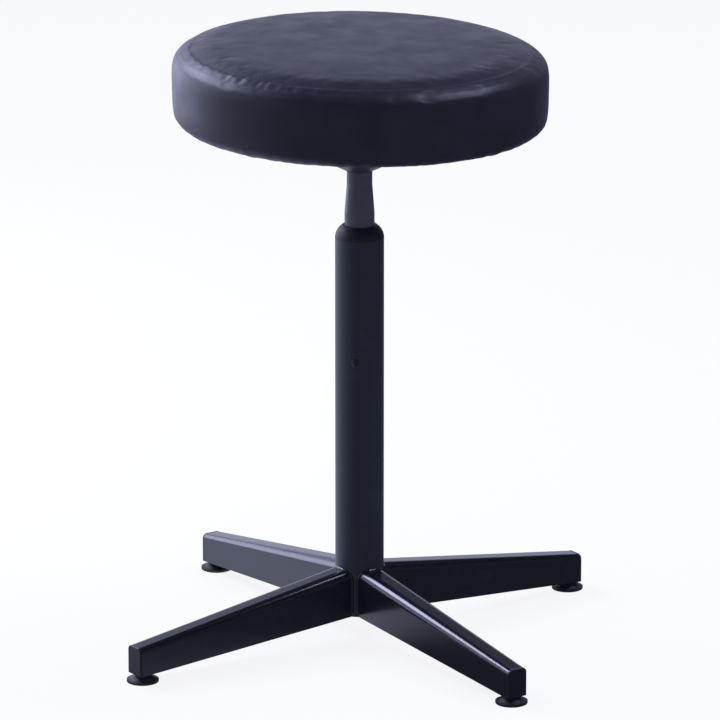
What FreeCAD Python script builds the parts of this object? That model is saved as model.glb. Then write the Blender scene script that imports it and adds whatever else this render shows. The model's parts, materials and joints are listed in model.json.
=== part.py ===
import FreeCAD, Part
import math
import os
import re

import Sketcher
from FreeCAD import Placement, Rotation, Vector

# Round stool with a screw lift, for a workshop bench.
# Millimetres. +Z is up, the floor is z = 0 and the column's axis is x = y = 0. Heights are over the floor.
# The four legs point half way between the X and Y axes.

SIZES = {
    # column
    "column_diameter": (49.0, "tube outside"),
    "column_wall": (2.0, "tube wall"),
    "column_foot": (25.5, "height of the tube's lower end"),
    "column_top": (416.0, "height of the tube's upper end"),
    "base_plate_thickness": (6.0, "disc welded into the column's foot"),
    "base_plate_height": (39.0, "underside of that disc"),
    "weld_gap": (0.05, "gap left where pieces are welded or pressed together"),
    # legs
    "leg_yaw": (45.0, "angle of the first leg from +X, in degrees"),
    "leg_step": (90.0, "angle from one leg to the next, in degrees"),
    "leg_root": (15.0, "radius where the pressing starts, inside the column"),
    "leg_reach": (271.5, "radius of the leg's outer end, with its cap"),
    "leg_wall": (2.0, "sheet thickness"),
    "leg_hub_width": (30.0, "width at the root"),
    "leg_tip_width": (22.0, "width at the tip"),
    "leg_hub_top": (75.0, "height of the top at the root"),
    "leg_hub_bottom": (26.0, "height of the lower edge at the root"),
    "leg_tip_top": (37.5, "height of the top at the tip"),
    "leg_tip_bottom": (8.2, "height of the lower edge at the tip"),
    "leg_hub_edge": (10.0, "round of the long upper edges at the root"),
    "leg_tip_edge": (5.0, "round of the same edges at the tip"),
    # leg end cap
    "cap_thickness": (3.0, "plate that closes the leg"),
    "cap_edge_radius": (0.8, "round of the plate's outer edge"),
    "cap_tongue_length": (13.0, "tongue inside the leg"),
    "cap_tongue_height": (7.0, "height of the tongue"),
    "cap_fit": (0.15, "gap between the tongue and the sheet"),
    # levelling glides
    "glide_inset": (10.0, "from the leg's outer end in to the glide's centre"),
    "pad_diameter": (32.0, "nylon pad on the floor"),
    "pad_rim": (2.6, "height of the pad's edge"),
    "pad_height": (7.3, "height of the pad's top"),
    "pad_top_diameter": (16.0, "flat top of the pad"),
    "pad_flare": (10.5, "hollow round of the pad's upper side"),
    "pad_recess_diameter": (13.0, "recess under the pad for the riveted end"),
    "pad_recess_depth": (3.6, "depth of that recess"),
    "pad_sole_radius": (0.8, "round of the sole's edge"),
    "stem_diameter": (8.0, "levelling screw"),
    "stem_pitch": (1.25, "thread pitch of the levelling screw"),
    "stem_turns": (5.0, "turns of levelling travel"),
    "stem_collar_diameter": (14.0, "collar that stands on the pad"),
    "stem_collar_height": (1.7, "height of that collar"),
    "stem_rivet_diameter": (11.0, "riveted end under the pad"),
    "stem_rivet_height": (1.6, "height of the riveted end"),
    "stem_tip_chamfer": (0.8, "lead-in at the top of the screw"),
    "plate_thickness": (3.0, "plate welded in the leg's tip"),
    "plate_length": (24.0, "length of that plate"),
    "nut_flats": (13.0, "weld nut across the flats"),
    "nut_height": (6.5, "height of the weld nut"),
    "running_gap": (0.05, "radial gap between turning or sliding pieces"),
    "seat_gap": (0.3, "gap where one piece rests near another"),
    # guide sleeve in the column's top
    "sleeve_head_height": (12.5, "height of the rounded head over the tube"),
    "sleeve_head_lip": (2.2, "flat ring on top of the head, round the bore"),
    "sleeve_head_edge": (0.6, "upright edge at the foot of the head"),
    "sleeve_head_round": (16.0, "round of the head's shoulder"),
    "sleeve_length": (136.0, "length of the sleeve inside the tube"),
    "sleeve_relief": (1.6, "depth of the relief between the two guiding bands"),
    "sleeve_band": (22.0, "length of each guiding band"),
    "rivet_drop": (124.0, "from the tube's upper end down to the rivet that holds the sleeve"),
    "rivet_shank_diameter": (4.8, "rivet shank"),
    "rivet_head_diameter": (8.0, "rivet head"),
    "rivet_head_height": (1.4, "height of the rivet head"),
    "rivet_grip": (3.5, "how far the shank goes into the sleeve"),
    # spindle, fixed to the column's foot
    "spindle_diameter": (20.0, "thread outside"),
    "spindle_lead": (8.0, "height gained for each turn of the seat"),
    "turns_up": (16.0, "turns from this height to the upper stop"),
    "turns_down": (6.5, "turns from this height to the lower stop"),
    "spindle_spigot_diameter": (12.0, "spigot through the base plate"),
    "foot_nut_flats": (19.0, "nut under the base plate, across the flats"),
    "foot_nut_height": (10.0, "height of that nut"),
    "foot_washer_diameter": (24.0, "washer over that nut"),
    "foot_washer_thickness": (2.5, "its thickness"),
    "spigot_proud": (0.8, "spigot left under the nut"),
    "stop_washer_diameter": (23.6, "washer on the spindle's top"),
    "stop_washer_thickness": (3.0, "its thickness"),
    "stop_screw_diameter": (8.0, "screw that holds the stop washer"),
    "stop_screw_length": (16.0, "its length under the head"),
    "stop_screw_spare": (2.0, "depth of its hole past its end"),
    "stop_screw_flats": (13.0, "its head across the flats"),
    "stop_screw_head": (5.3, "height of its head"),
    # lift tube, which turns and rises with the seat
    "lift_diameter": (30.0, "tube outside"),
    "lift_wall": (2.5, "tube wall"),
    "lift_foot": (110.0, "height of the tube's lower end"),
    "neck_diameter": (25.5, "drawn-in neck under the seat"),
    "neck_taper": (29.0, "length over which the tube draws in"),
    "neck_length": (33.0, "straight part of the neck"),
    "neck_in_bell": (18.0, "how far the neck reaches up into the bell"),
    "lift_nut_flange_diameter": (38.0, "flange of the lift nut, under the tube"),
    "lift_nut_flange_height": (6.0, "height of that flange"),
    "lift_nut_height": (30.0, "height of the nut inside the tube"),
    "guide_ring_height": (30.0, "nylon ring round the tube's foot"),
    "clip_diameter": (36.0, "snap ring over the guide ring"),
    "clip_thickness": (2.0, "its thickness"),
    "clip_groove": (1.0, "depth of its groove in the tube"),
    "pin_diameter": (4.0, "pin through the tube and the lift nut"),
    "pin_height": (18.0, "height of the pin over the tube's lower end"),
    # bell plate under the seat
    "bell_depth": (47.5, "from the board down to the bell's lower lip"),
    "bell_lip": (2.5, "width of the bell's flat lower lip"),
    "bell_wall": (3.0, "sheet thickness"),
    "bell_cone_rim": (11.0, "flange inside the bolts' circle, down to the cone"),
    "bell_curve": (190.0, "round of the cone, which swells downwards"),
    "bell_bend": (6.0, "round of the bend from cone to flange"),
    "bell_flange_rim": (11.0, "flange outside the bolts' circle"),
    "bolt_circle_radius": (87.0, "radius of the bolts' circle"),
    "bolt_count": (4.0, "bolts through the flange"),
    "bolt_diameter": (8.0, "bolt shank"),
    "bolt_clearance": (0.2, "radial gap in the bolt's holes"),
    "bolt_flats": (13.0, "bolt head across the flats"),
    "bolt_head": (5.3, "height of the bolt head"),
    "bolt_length": (18.0, "length under the head"),
    "bolt_washer_diameter": (16.0, "washer under the head"),
    "bolt_washer_thickness": (1.6, "its thickness"),
    "tee_barrel_diameter": (10.0, "barrel of the tee nut"),
    "tee_barrel_length": (11.0, "length of the barrel under the flange"),
    "tee_flange_diameter": (19.0, "flange of the tee nut"),
    "tee_flange_thickness": (1.5, "its thickness"),
    # seat
    "board_height": (533.0, "underside of the plywood board"),
    "board_thickness": (15.0, "plywood"),
    "board_radius": (164.0, "plywood"),
    "board_edge": (2.0, "round of the board's edges"),
    "cushion_overhang": (22.0, "cushion past the board's edge"),
    "cushion_height": (79.0, "from the board's underside to the cushion's top"),
    "seat_bottom_flat": (1.0, "underside between the board's edge and the lower rounding"),
    "seat_bottom_rise": (20.0, "height of the lower rounding"),
    "seat_bottom_edge": (20.0, "radius of the lower rounding"),
    "seat_side_lean": (1.0, "how far the side's foot lies inside its upper end"),
    "seat_shoulder_drop": (30.0, "from the top down to the side's upper end"),
    "seat_shoulder_edge": (22.0, "radius of the rounding from the side to the seam"),
    "seam_inset": (19.0, "from the side's upper end in to the sewn seam"),
    "seam_drop": (7.1, "from the top down to the seam"),
    "panel_edge_width": (17.0, "rounded edge of the top panel, inside the seam"),
    "panel_crown": (1.6, "rise of the top from the end of that edge to its flat middle"),
    "panel_flat": (100.0, "radius of the flat middle"),
    "panel_edge": (32.0, "radius of that edge"),
    "cover_thickness": (1.5, "vinyl with its backing"),
    "cover_hem": (14.0, "cover turned in under the board"),
    "dust_cloth_thickness": (0.8, "cloth under the seat"),
    "dust_cloth_clearance": (2.0, "gap between that cloth and the bell's flange"),
    "dust_cloth_margin": (4.0, "board left outside that cloth"),
}

LEG_NAMES = ("rear_right", "rear_left", "front_left", "front_right")

doc = FreeCAD.newDocument("machinist_stool")
sheet = doc.addObject("Spreadsheet::Sheet", "Sizes")
for row, (alias, (amount, note)) in enumerate(SIZES.items(), 1):
    sheet.set(f"A{row}", str(amount))
    sheet.set(f"B{row}", note)
    sheet.setAlias(f"A{row}", alias)
doc.recompute()

# Heights and radii that follow from the sizes above, as expressions in them.
TUBE_R = "column_diameter / 2"
TUBE_BORE_R = "(column_diameter / 2 - column_wall)"
LEG_END = "(leg_reach - cap_thickness)"
TIP_SECTION = ("leg_tip_width", "leg_tip_bottom", "leg_tip_top", "leg_tip_edge")
PLATE_BASE = "(pad_height + stem_collar_height + running_gap + seat_gap)"
PLATE_TOP = f"({PLATE_BASE} + plate_thickness)"
NUT_TOP = f"({PLATE_TOP} + nut_height)"
STEM_R = "stem_diameter / 2"
STEM_TOP = f"({NUT_TOP} + stem_pitch * stem_turns + seat_gap)"
SLEEVE_TOP = "(column_top + sleeve_head_height)"
SLEEVE_FOOT = "(column_top - sleeve_length)"
RIVET_HEIGHT = "(column_top - rivet_drop)"
SLEEVE_R = f"({TUBE_BORE_R} - weld_gap)"
SLEEVE_BORE_R = "(lift_diameter / 2 + running_gap)"
LIFT_R = "lift_diameter / 2"
LIFT_BORE_R = "(lift_diameter / 2 - lift_wall)"
SPINDLE_R = "spindle_diameter / 2"
SPINDLE_FOOT = "(base_plate_height + base_plate_thickness)"
SPINDLE_TOP = "(lift_foot + lift_nut_height + spindle_lead * turns_up + seat_gap)"
RING_BASE = "(lift_foot + running_gap)"
RING_TOP = f"({RING_BASE} + guide_ring_height)"
CLIP_BASE = f"({RING_TOP} + running_gap)"
WASHER_BASE = "(board_height - bell_wall - bolt_washer_thickness)"
BOARD_TOP = "(board_height + board_thickness)"
COVER_BASE = "(board_height - cover_thickness)"
FOAM_GAP = "(cover_thickness + seat_gap)"
GLIDE_RADIUS = "(leg_reach - glide_inset)"
BELL_BOTTOM = "(board_height - bell_depth)"
LIFT_TOP = f"({BELL_BOTTOM} + neck_in_bell)"
NECK_END = f"({LIFT_TOP} - neck_length)"
NECK_START = f"({NECK_END} - neck_taper)"
FLANGE_R = "(bolt_circle_radius + bell_flange_rim)"
CONE_R = "(bolt_circle_radius - bell_cone_rim)"
SEAT_R = "(board_radius + cushion_overhang)"
SEAT_TOP = "(board_height + cushion_height)"
HEM_R = "(board_radius - cover_hem)"
RIVET_HOLE_R = "(rivet_shank_diameter / 2 + weld_gap)"
PIN_HOLE_R = "(pin_diameter / 2 + weld_gap)"
PIN_HEIGHT = "(lift_foot + pin_height)"
BOLT_HOLE_R = "(bolt_diameter / 2 + bolt_clearance)"
LEG_YAWS = tuple(f"leg_yaw + leg_step * {number}" for number in range(len(LEG_NAMES)))
CELLS = {alias: f"Sizes.{alias}" for alias in SIZES}
SAME = 0.001  # two lengths this close are the same one


def bound(text):
    """The expression with every size's name replaced by its cell."""
    return re.sub("[a-z_]+", lambda word: CELLS.get(word.group(), word.group()), text)


def value(text):
    """What an expression is worth now."""
    return float(sheet.evalExpression(text))


def origin_part(body, role):
    """One of a body's own origin planes or axes."""
    return next(part for part in body.Origin.OriginFeatures if part.Role == role)


def new_sketch(body, plane, name, height=None):
    """An empty sketch on an origin plane, or at a height over it."""
    sketch = body.newObject("Sketcher::SketchObject", name)
    sketch.AttachmentSupport = [(origin_part(body, plane), "")]
    sketch.MapMode = "FlatFace"
    if height:
        sketch.setExpression("AttachmentOffset.Base.z", bound(height))
    return sketch


def bind(sketch, constraint, name, text):
    """Adds a constraint whose amount follows an expression."""
    index = sketch.addConstraint(constraint)
    sketch.renameConstraint(index, name)
    sketch.setExpression(f"Constraints.{name}", bound(text))


def arc_between(start, end, radius, centre_side):
    """The short arc from start to end, with its centre to the left or the right of that way."""
    chord = end - start
    aside = Vector(-chord.y, chord.x, 0).normalize()
    if centre_side == "right":
        aside = -aside
    centre = (start + end) / 2 + aside * math.sqrt(max(radius**2 - chord.Length**2 / 4, 0))
    first, last = (start, end) if centre_side == "left" else (end, start)
    angles = [math.atan2(point.y - centre.y, point.x - centre.x) for point in (first, last)]
    if angles[1] < angles[0]:
        angles[1] += 2 * math.pi
    return Part.ArcOfCircle(Part.Circle(centre, Vector(0, 0, 1), radius), *angles)


def draw(sketch, corners):
    """Draws a closed outline through the corners.

    A corner is its two distances from the sketch's origin. Where the way to it is an arc, the radius and
    the side of the arc's centre follow.
    """
    points = [Vector(value(corner[0]), value(corner[1]), 0) for corner in corners]
    ends = []
    for number, corner in enumerate(corners):
        start, end = points[number - 1], points[number]
        if len(corner) == 4:
            edge = sketch.addGeometry(arc_between(start, end, value(corner[2]), corner[3]))
            ends.append((edge, 1, 2) if corner[3] == "left" else (edge, 2, 1))
        else:
            ends.append((sketch.addGeometry(Part.LineSegment(start, end)), 1, 2))
    for number, corner in enumerate(corners):
        edge, _, end = ends[number]
        following, start, _ = ends[(number + 1) % len(corners)]
        sketch.addConstraint(Sketcher.Constraint("Coincident", edge, end, following, start))
        across = Sketcher.Constraint("DistanceX", -1, 1, edge, end, points[number].x)
        upward = Sketcher.Constraint("DistanceY", -1, 1, edge, end, points[number].y)
        bind(sketch, across, f"across_{number}", corner[0])
        bind(sketch, upward, f"up_{number}", corner[1])
        if len(corner) == 4:
            radius = Sketcher.Constraint("Radius", edge, value(corner[2]))
            bind(sketch, radius, f"radius_{number}", corner[2])


def draw_circle(sketch, radius, across="0", upward="0"):
    """Draws a circle at two distances from the sketch's origin."""
    centre = Vector(value(across), value(upward), 0)
    edge = sketch.addGeometry(Part.Circle(centre, Vector(0, 0, 1), value(radius)))
    bind(sketch, Sketcher.Constraint("DistanceX", -1, 1, edge, 3, centre.x), "across", across)
    bind(sketch, Sketcher.Constraint("DistanceY", -1, 1, edge, 3, centre.y), "up", upward)
    bind(sketch, Sketcher.Constraint("Radius", edge, value(radius)), "radius", radius)


def hexagon(flats, across="0"):
    """The corners of a hexagon with two flats square to the sketch's first direction."""
    reach = f"{flats} / 2 / cos(30)"
    return [(f"{across} + {reach} * cos({30 + 60 * n})", f"{reach} * sin({30 + 60 * n})") for n in range(6)]


def new_body(label):
    body = doc.addObject("PartDesign::Body", label)
    body.Label = label
    return body


def turned(label, corners):
    """A piece turned about its own upright axis; the corners are radius and height."""
    body = new_body(label)
    sketch = new_sketch(body, "XZ_Plane", f"{label}_profile")
    draw(sketch, corners)
    turn = body.newObject("PartDesign::Revolution", f"{label}_turning")
    turn.Profile = sketch
    turn.ReferenceAxis = (sketch, ["V_Axis"])
    turn.Angle = 360
    body.Tip = turn
    return body


def pad(body, sketch, length, back=False):
    """Adds the sketch's outline over a length, along the plane's normal or back against it."""
    feature = body.newObject("PartDesign::Pad", f"{sketch.Name}_pad")
    feature.Profile = sketch
    feature.setExpression("Length", bound(length))
    feature.Reversed = back
    body.Tip = feature
    return feature


def pocket(body, sketch, depth, forward=False):
    """Cuts the sketch's outline over a depth, against the plane's normal or forward along it."""
    doc.recompute()
    before = body.Shape.Volume
    feature = body.newObject("PartDesign::Pocket", f"{sketch.Name}_pocket")
    feature.Profile = sketch
    feature.setExpression("Length", bound(depth))
    feature.Reversed = forward
    body.Tip = feature
    doc.recompute()
    if body.Shape.Volume >= before:
        raise ValueError(f"{sketch.Label} cuts nothing")
    return feature


def bore(body, radius, top, depth, across="0", name="bore"):
    """A round hole downwards from a height."""
    sketch = new_sketch(body, "XY_Plane", f"{body.Name}_{name}", top)
    draw_circle(sketch, radius, across)
    return pocket(body, sketch, depth)


def side_hole(body, plane, radius, height, depth, forward):
    """A round hole through one side of a tube, square to its axis."""
    sketch = new_sketch(body, plane, f"{body.Name}_side_hole")
    draw_circle(sketch, radius, "0", height)
    return pocket(body, sketch, depth, forward)


def round_pattern(body, features, count):
    """Repeats features round the upright axis."""
    pattern = body.newObject("PartDesign::PolarPattern", f"{body.Name}_pattern")
    pattern.Originals = features
    pattern.Axis = (origin_part(body, "Z_Axis"), [""])
    pattern.Angle = 360
    pattern.setExpression("Occurrences", bound(count))
    body.Tip = pattern
    return pattern


def rounded(body, radius, chosen, name="round"):
    """Rounds the edges of the body's last feature that the test chooses."""
    doc.recompute()
    base = body.Tip
    edges = [f"Edge{number}" for number, edge in enumerate(base.Shape.Edges, 1) if chosen(edge)]
    if not edges:
        raise ValueError(f"{body.Label} has no edge to round")
    feature = body.newObject("PartDesign::Fillet", f"{body.Name}_{name}")
    feature.Base = (base, edges)
    feature.setExpression("Radius", bound(radius))
    body.Tip = feature
    return feature


def ring_edge(radius, height):
    """A test for the circular edge at a radius and a height."""
    def chosen(edge):
        box = edge.BoundBox
        level = box.ZLength < SAME and abs(box.ZMin - value(height)) < SAME
        return level and abs(box.XMax - value(radius)) < SAME

    return chosen


def washer(label, outer, inner, base, thickness):
    """A flat ring; outer and inner are radii."""
    top = f"{base} + {thickness}"
    return turned(label, [(inner, base), (outer, base), (outer, top), (inner, top)])


def place_on_leg(body, number, radius="0"):
    """Turns a piece to its leg's angle and sets it at a radius on the leg's line."""
    yaw = LEG_YAWS[number]
    body.Placement = Placement(Vector(0, 0, 0), Rotation(Vector(0, 0, 1), value(yaw)))
    body.setExpression("Placement.Rotation.Angle", bound(yaw))
    body.setExpression("Placement.Base.x", bound(f"{radius} * cos({yaw})"))
    body.setExpression("Placement.Base.y", bound(f"{radius} * sin({yaw})"))


# The column, its foot and the guide sleeve in its top.


def column_tube():
    body = turned("column_tube", [
        (TUBE_BORE_R, "column_foot"),
        (TUBE_R, "column_foot"),
        (TUBE_R, "column_top"),
        (TUBE_BORE_R, "column_top"),
    ])
    side_hole(body, "XZ_Plane", RIVET_HOLE_R, RIVET_HEIGHT, TUBE_R, forward=True)


def guide_sleeve():
    """A moulded sleeve with a rounded head over the tube and two bands that guide the lift tube."""
    head_foot = "column_top + weld_gap"
    head_top_radius = f"({SLEEVE_BORE_R} + sleeve_head_lip)"
    relief_radius = f"({SLEEVE_BORE_R} + sleeve_relief)"
    body = turned("guide_sleeve", [
        (SLEEVE_BORE_R, SLEEVE_FOOT),
        (SLEEVE_R, SLEEVE_FOOT),
        (SLEEVE_R, head_foot),
        (TUBE_R, head_foot),
        (TUBE_R, f"{head_foot} + sleeve_head_edge"),
        (head_top_radius, SLEEVE_TOP, "sleeve_head_round", "left"),
        (SLEEVE_BORE_R, SLEEVE_TOP),
        (SLEEVE_BORE_R, f"{SLEEVE_TOP} - sleeve_band"),
        (relief_radius, f"{SLEEVE_TOP} - sleeve_band"),
        (relief_radius, f"{SLEEVE_FOOT} + sleeve_band"),
        (SLEEVE_BORE_R, f"{SLEEVE_FOOT} + sleeve_band"),
    ])
    sketch = new_sketch(body, "XZ_Plane", "guide_sleeve_rivet_hole", f"{SLEEVE_R} - rivet_grip")
    draw_circle(sketch, RIVET_HOLE_R, "0", RIVET_HEIGHT)
    pocket(body, sketch, "column_diameter", forward=True)


def sleeve_rivet():
    """A dome-headed rivet in the column's front that holds the sleeve, modelled upright and laid over."""
    inner_end = f"{SLEEVE_R} - rivet_grip + weld_gap"
    head_top = f"{TUBE_R} + rivet_head_height"
    head_round = "((rivet_head_diameter / 2)^2 + rivet_head_height^2) / (2 * rivet_head_height)"
    body = turned("sleeve_rivet", [
        ("0", inner_end),
        ("rivet_shank_diameter / 2", inner_end),
        ("rivet_shank_diameter / 2", TUBE_R),
        ("rivet_head_diameter / 2", TUBE_R),
        ("0", head_top, head_round, "left"),
    ])
    body.Placement = Placement(Vector(0, 0, 0), Rotation(Vector(1, 0, 0), 90))
    body.setExpression("Placement.Base.z", bound(RIVET_HEIGHT))


def base_plate():
    top = SPINDLE_FOOT
    radius = f"{TUBE_BORE_R} - weld_gap"
    hole = "spindle_spigot_diameter / 2 + weld_gap"
    low = "base_plate_height"
    turned("base_plate", [(hole, low), (radius, low), (radius, top), (hole, top)])


def spindle():
    """The fixed lift screw. Its threads are drawn as their outside cylinder."""
    spigot = "spindle_spigot_diameter / 2"
    low = "base_plate_height - foot_washer_thickness - foot_nut_height - spigot_proud"
    lead_in = "stem_tip_chamfer"
    body = turned("spindle", [
        ("0", low),
        (f"{spigot} - {lead_in}", low),
        (spigot, f"{low} + {lead_in}"),
        (spigot, SPINDLE_FOOT),
        (SPINDLE_R, SPINDLE_FOOT),
        (SPINDLE_R, f"{SPINDLE_TOP} - {lead_in}"),
        (f"{SPINDLE_R} - {lead_in}", SPINDLE_TOP),
        ("0", SPINDLE_TOP),
    ])
    bore(body, "stop_screw_diameter / 2 + weld_gap", SPINDLE_TOP, "stop_screw_length + stop_screw_spare")


def hexagon_nut(label, flats, base, height, hole, across="0"):
    """A plain hexagon nut, or a hexagon block with no hole."""
    body = new_body(label)
    sketch = new_sketch(body, "XY_Plane", f"{label}_outline", base)
    draw(sketch, hexagon(flats, across))
    pad(body, sketch, height)
    if hole:
        bore(body, hole, f"{base} + {height}", height, across)
    return body


def spindle_fasteners():
    """The nut and washer under the base plate, and the washer and screw that stop the lift nut on top."""
    spigot = "spindle_spigot_diameter / 2 + weld_gap"
    washer_base = "(base_plate_height - foot_washer_thickness)"
    nut_base = f"({washer_base} - foot_nut_height)"
    washer("foot_washer", "foot_washer_diameter / 2", spigot, washer_base, "foot_washer_thickness")
    hexagon_nut("foot_nut", "foot_nut_flats", nut_base, "foot_nut_height", spigot)
    screw_hole = "stop_screw_diameter / 2 + weld_gap"
    washer("stop_washer", "stop_washer_diameter / 2", screw_hole, SPINDLE_TOP, "stop_washer_thickness")
    head_base = f"({SPINDLE_TOP} + stop_washer_thickness)"
    screw = hexagon_nut("stop_screw", "stop_screw_flats", head_base, "stop_screw_head", None)
    shank = new_sketch(screw, "XY_Plane", "stop_screw_shank", head_base)
    draw_circle(shank, "stop_screw_diameter / 2")
    pad(screw, shank, "stop_screw_length", back=True)


# One leg, built along +X and then turned to its place.


def leg_section(body, name, radius, width, bottom, top, round_edge, wall="0"):
    """The leg's section at a radius: a box with rounded upper corners, or its hollow, open below."""
    half = f"({width} / 2 - {wall})"
    edge = f"({round_edge} - {wall})"
    crown = f"({top} - {wall})"
    floor = f"({bottom} - {wall})"
    sketch = new_sketch(body, "YZ_Plane", f"{body.Name}_{name}", radius)
    draw(sketch, [
        (f"-{half}", floor),
        (half, floor),
        (half, f"{crown} - {edge}"),
        (f"{half} - {edge}", crown, edge, "left"),
        (f"-{half} + {edge}", crown),
        (f"-{half}", f"{crown} - {edge}", edge, "left"),
    ])
    return sketch


def leg(number):
    """A channel pressed from sheet, open below, deep and wide at the column and slim at the tip."""
    body = new_body(f"leg_{LEG_NAMES[number]}")
    hub = ("leg_root", "leg_hub_width", "leg_hub_bottom", "leg_hub_top", "leg_hub_edge")
    tip = (LEG_END, *TIP_SECTION)
    for kind, name, wall in (("AdditiveLoft", "outside", "0"), ("SubtractiveLoft", "hollow", "leg_wall")):
        loft = body.newObject(f"PartDesign::{kind}", f"{body.Name}_{name}")
        loft.Profile = leg_section(body, f"{name}_root", *hub, wall)
        loft.Sections = [leg_section(body, f"{name}_tip", *tip, wall)]
        loft.Ruled = True
        body.Tip = loft
    seat = new_sketch(body, "XZ_Plane", f"{body.Name}_column_seat")
    reach = f"{TUBE_R} + weld_gap"
    low, high = "leg_tip_bottom", "leg_hub_top + leg_wall"
    draw(seat, [("0", low), (reach, low), (reach, high), ("0", high)])
    groove = body.newObject("PartDesign::Groove", f"{body.Name}_cope")
    groove.Profile = seat
    groove.ReferenceAxis = (seat, ["V_Axis"])
    groove.Angle = 360
    body.Tip = groove
    place_on_leg(body, number)


def end_cap(number):
    """A moulded plate that closes the leg's tip, with a tongue under the leg's top."""
    body = new_body(f"end_cap_{LEG_NAMES[number]}")
    face = leg_section(body, "face", LEG_END, *TIP_SECTION)
    pad(body, face, "cap_thickness")
    outer = value("leg_reach")
    rounded(body, "cap_edge_radius", lambda edge: edge.BoundBox.XMin > outer - SAME)
    half = "(leg_tip_width / 2 - leg_wall - cap_fit)"
    high = "(leg_tip_top - leg_wall - cap_fit)"
    low = f"({high} - cap_tongue_height)"
    edge = "(leg_tip_edge - leg_wall)"
    tongue = new_sketch(body, "YZ_Plane", f"{body.Name}_tongue", LEG_END)
    draw(tongue, [
        (f"-{half}", low),
        (half, low),
        (half, f"{high} - {edge}"),
        (f"{half} - {edge}", high, edge, "left"),
        (f"-{half} + {edge}", high),
        (f"-{half}", f"{high} - {edge}", edge, "left"),
    ])
    pad(body, tongue, "cap_tongue_length", back=True)
    place_on_leg(body, number)


def foot_plate(number):
    """The plate welded across the leg's tip, which carries the weld nut."""
    body = new_body(f"foot_plate_{LEG_NAMES[number]}")
    half = "(leg_tip_width / 2 - leg_wall - weld_gap)"
    inner = f"{LEG_END} - plate_length"
    outer = f"{LEG_END} - weld_gap"
    sketch = new_sketch(body, "XY_Plane", f"{body.Name}_outline", PLATE_BASE)
    draw(sketch, [(inner, f"-{half}"), (outer, f"-{half}"), (outer, half), (inner, half)])
    pad(body, sketch, "plate_thickness")
    bore(body, f"{STEM_R} + running_gap", PLATE_TOP, "plate_thickness", GLIDE_RADIUS)
    place_on_leg(body, number)


def weld_nut(number):
    name = f"weld_nut_{LEG_NAMES[number]}"
    body = hexagon_nut(name, "nut_flats", PLATE_TOP, "nut_height", f"{STEM_R} + running_gap", GLIDE_RADIUS)
    place_on_leg(body, number)


def glide_pad(number):
    """The flared nylon pad that stands on the floor."""
    sole = "pad_diameter / 2"
    hole = f"{STEM_R} + running_gap"
    body = turned(f"glide_pad_{LEG_NAMES[number]}", [
        ("pad_recess_diameter / 2", "0"),
        (f"{sole} - pad_sole_radius", "0"),
        (sole, "pad_sole_radius", "pad_sole_radius", "left"),
        (sole, "pad_rim"),
        ("pad_top_diameter / 2", "pad_height", "pad_flare", "right"),
        (hole, "pad_height"),
        (hole, "pad_recess_depth"),
        ("pad_recess_diameter / 2", "pad_recess_depth"),
    ])
    place_on_leg(body, number, GLIDE_RADIUS)


def glide_screw(number):
    """The levelling screw: its collar stands on the pad and its lower end is riveted under it."""
    rivet_top = "(pad_recess_depth - running_gap)"
    rivet_low = f"({rivet_top} - stem_rivet_height)"
    collar_low = "(pad_height + running_gap)"
    collar_top = f"({collar_low} + stem_collar_height)"
    body = turned(f"glide_screw_{LEG_NAMES[number]}", [
        ("0", rivet_low),
        ("stem_rivet_diameter / 2", rivet_low),
        ("stem_rivet_diameter / 2", rivet_top),
        (STEM_R, rivet_top),
        (STEM_R, collar_low),
        ("stem_collar_diameter / 2", collar_low),
        ("stem_collar_diameter / 2", collar_top),
        (STEM_R, collar_top),
        (STEM_R, f"{STEM_TOP} - stem_tip_chamfer"),
        (f"{STEM_R} - stem_tip_chamfer", STEM_TOP),
        ("0", STEM_TOP),
    ])
    place_on_leg(body, number, GLIDE_RADIUS)


# What turns and rises with the seat.


def lift_tube():
    """The tube that rises out of the column, drawn in to a slim neck under the seat."""
    neck = "neck_diameter / 2"
    neck_bore = f"({neck} - lift_wall)"
    groove = f"({LIFT_R} - clip_groove)"
    clip_top = f"{CLIP_BASE} + clip_thickness + running_gap"
    body = turned("lift_tube", [
        (LIFT_BORE_R, "lift_foot"),
        (LIFT_R, "lift_foot"),
        (LIFT_R, RING_TOP),
        (groove, RING_TOP),
        (groove, clip_top),
        (LIFT_R, clip_top),
        (LIFT_R, NECK_START),
        (neck, NECK_END),
        (neck, LIFT_TOP),
        (neck_bore, LIFT_TOP),
        (neck_bore, NECK_END),
        (LIFT_BORE_R, NECK_START),
    ])
    side_hole(body, "YZ_Plane", PIN_HOLE_R, PIN_HEIGHT, LIFT_R, forward=True)


def lift_nut():
    """The flanged nut in the lift tube's foot, which climbs the fixed spindle."""
    flange = "lift_nut_flange_diameter / 2"
    barrel = f"({LIFT_BORE_R} - weld_gap)"
    thread = f"({SPINDLE_R} + running_gap)"
    low = "(lift_foot - lift_nut_flange_height)"
    top = "(lift_foot + lift_nut_height)"
    body = turned("lift_nut", [
        (thread, low),
        (flange, low),
        (flange, "lift_foot"),
        (barrel, "lift_foot"),
        (barrel, top),
        (thread, top),
    ])
    side_hole(body, "YZ_Plane", PIN_HOLE_R, PIN_HEIGHT, "lift_diameter", forward=True)


def nut_pin():
    """The short pin that keeps the nut from turning in the tube. It is modelled upright and laid over."""
    inner = f"{SPINDLE_R} + running_gap + weld_gap"
    body = turned("nut_pin", [
        ("0", inner),
        ("pin_diameter / 2", inner),
        ("pin_diameter / 2", f"{LIFT_R} - weld_gap"),
        ("0", f"{LIFT_R} - weld_gap"),
    ])
    body.Placement = Placement(Vector(0, 0, 0), Rotation(Vector(0, 1, 0), 90))
    body.setExpression("Placement.Base.z", bound(PIN_HEIGHT))


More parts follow.
